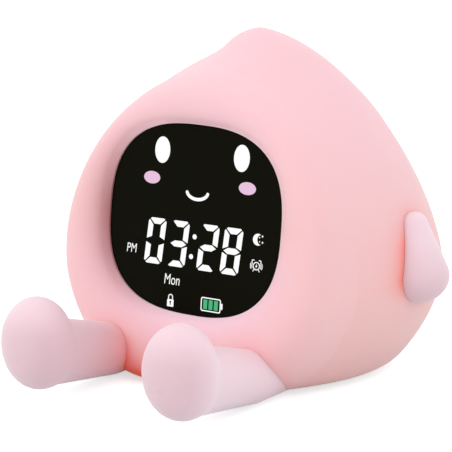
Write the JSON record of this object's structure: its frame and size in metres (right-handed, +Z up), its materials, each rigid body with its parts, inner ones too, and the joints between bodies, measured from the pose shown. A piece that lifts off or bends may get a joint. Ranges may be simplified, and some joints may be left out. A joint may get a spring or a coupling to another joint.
{
  "type": "alarm clock",
  "caption": "Drop-shaped soft kids alarm clock with night light, a rounded display face, stubby arms and legs, and push buttons at the back.",
  "frame": {"origin": "on the table, on the body's upright axis, in the middle of the anti-slip pad's underside", "axes": "+Z up, -Y the way the display faces, +X to the right of someone who looks at the display"},
  "size_m": [0.1396, 0.1581, 0.1137],
  "materials": {
    "pink_silicone": "matte",
    "pale_silicone": "matte",
    "display_window": "gloss",
    "foam": "matte",
    "white_plastic": "matte",
    "milky_plastic": "matte",
    "panel_plastic": "matte",
    "button_plastic": "satin",
    "green_board": "satin",
    "white_board": "satin",
    "led": "gloss",
    "screw_steel": "satin",
    "dark_parts": "matte",
    "copper_foil": "satin",
    "pad_rubber": "matte",
    "cell_sleeve": "satin",
    "cable": "satin",
    "ribbon_cable": "satin"
  },
  "bodies": {
    "clock": {"body_skin": "pink_silicone", "left_arm": "pale_silicone", "right_arm": "pale_silicone", "left_leg": "pale_silicone", "right_leg": "pale_silicone", "limb_clips": "white_plastic", "display_lens": "display_window", "lens_gasket": "foam", "display_reflector": "white_plastic", "display_board": "green_board", "display_leds": "led", "display_screws": "screw_steel", "front_housing": "milky_plastic", "rear_housing": "milky_plastic", "control_panel": "panel_plastic", "panel_screws": "screw_steel", "main_board": "green_board", "board_parts": "dark_parts", "tact_switches": "dark_parts", "usb_socket": "screw_steel", "board_screws": "screw_steel", "speaker_frame": "dark_parts", "speaker_cone": "dark_parts", "speaker_magnet": "screw_steel", "speaker_screws": "screw_steel", "lamp_stand": "white_plastic", "lamp_board": "white_board", "lamp_leds": "led", "lamp_screws": "screw_steel", "touch_plate": "copper_foil", "base_plate": "milky_plastic", "base_pad": "pad_rubber", "base_screws": "screw_steel", "battery_cell": "cell_sleeve", "battery_strap": "white_plastic", "strap_screws": "screw_steel", "display_ribbon": "ribbon_cable", "battery_lead": "cable", "speaker_lead": "cable", "lamp_lead": "cable"},
    "alarm_button": {"alarm_button": "button_plastic"},
    "light_button": {"light_button": "button_plastic"},
    "sound_button": {"sound_button": "button_plastic"},
    "down_button": {"down_button": "button_plastic"},
    "set_button": {"set_button": "button_plastic"},
    "up_button": {"up_button": "button_plastic"}
  },
  "joints": [
    {"name": "alarm_press", "type": "slide", "parent": "clock", "child": "alarm_button", "axis": [0, -1, 0], "range_m": [0, 0.0006], "stiffness_N_per_m": 600},
    {"name": "light_press", "type": "slide", "parent": "clock", "child": "light_button", "axis": [0, -1, 0], "range_m": [0, 0.0006], "stiffness_N_per_m": 600},
    {"name": "sound_press", "type": "slide", "parent": "clock", "child": "sound_button", "axis": [0, -1, 0], "range_m": [0, 0.0006], "stiffness_N_per_m": 600},
    {"name": "down_press", "type": "slide", "parent": "clock", "child": "down_button", "axis": [0, -1, 0], "range_m": [0, 0.0006], "stiffness_N_per_m": 600},
    {"name": "set_press", "type": "slide", "parent": "clock", "child": "set_button", "axis": [0, -1, 0], "range_m": [0, 0.0006], "stiffness_N_per_m": 600},
    {"name": "up_press", "type": "slide", "parent": "clock", "child": "up_button", "axis": [0, -1, 0], "range_m": [0, 0.0006], "stiffness_N_per_m": 600}
  ]
}
